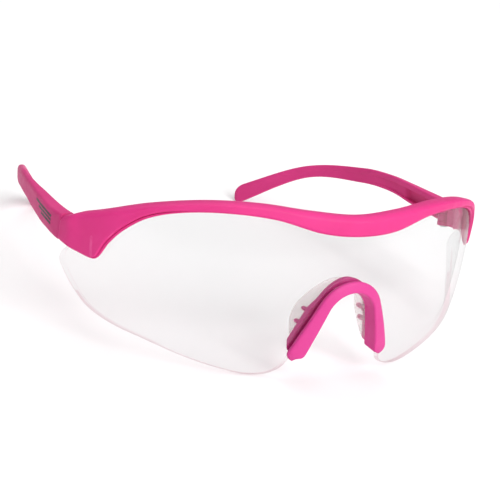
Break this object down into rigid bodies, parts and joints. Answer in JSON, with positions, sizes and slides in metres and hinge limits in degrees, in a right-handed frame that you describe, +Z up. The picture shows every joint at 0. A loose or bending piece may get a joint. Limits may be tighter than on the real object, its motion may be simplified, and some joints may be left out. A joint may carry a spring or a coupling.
{
  "type": "safety spectacles",
  "caption": "Wraparound half-frame safety spectacles with a brow frame, clear shield lens, nose bridge with soft pad and temples that fold inward.",
  "frame": {"origin": "middle of the footprint, on the surface that the lens and both temple tips stand on", "axes": "+Z up, the lens faces -Y, the temples run back along +Y, +X is on the wearer's left"},
  "size_m": [0.1442, 0.125, 0.0489],
  "materials": {
    "frame_pink": "satin moulded nylon",
    "bridge_pink": "satin moulded nylon",
    "temple_pink": "satin moulded nylon with a fine grain",
    "lens_clear": "polished clear polycarbonate",
    "pad_clear": "soft translucent elastomer",
    "screw_steel": "plated steel"
  },
  "bodies": {
    "front": {"brow_frame": "frame_pink", "lens": "lens_clear", "nose_bridge": "bridge_pink", "nose_pad": "pad_clear", "left_hinge_screw": "screw_steel", "right_hinge_screw": "screw_steel"},
    "left_temple": {"left_temple": "temple_pink"},
    "right_temple": {"right_temple": "temple_pink"}
  },
  "joints": [
    {"name": "left_temple_fold", "type": "hinge", "parent": "front", "child": "left_temple", "pos_m": [0.06695, -0.01644, 0.02845], "axis": [0, 0.2964, 0.9551], "range_deg": [0, 92]},
    {"name": "right_temple_fold", "type": "hinge", "parent": "front", "child": "right_temple", "pos_m": [-0.06695, -0.01644, 0.02845], "axis": [0, -0.2964, -0.9551], "range_deg": [0, 80]}
  ]
}
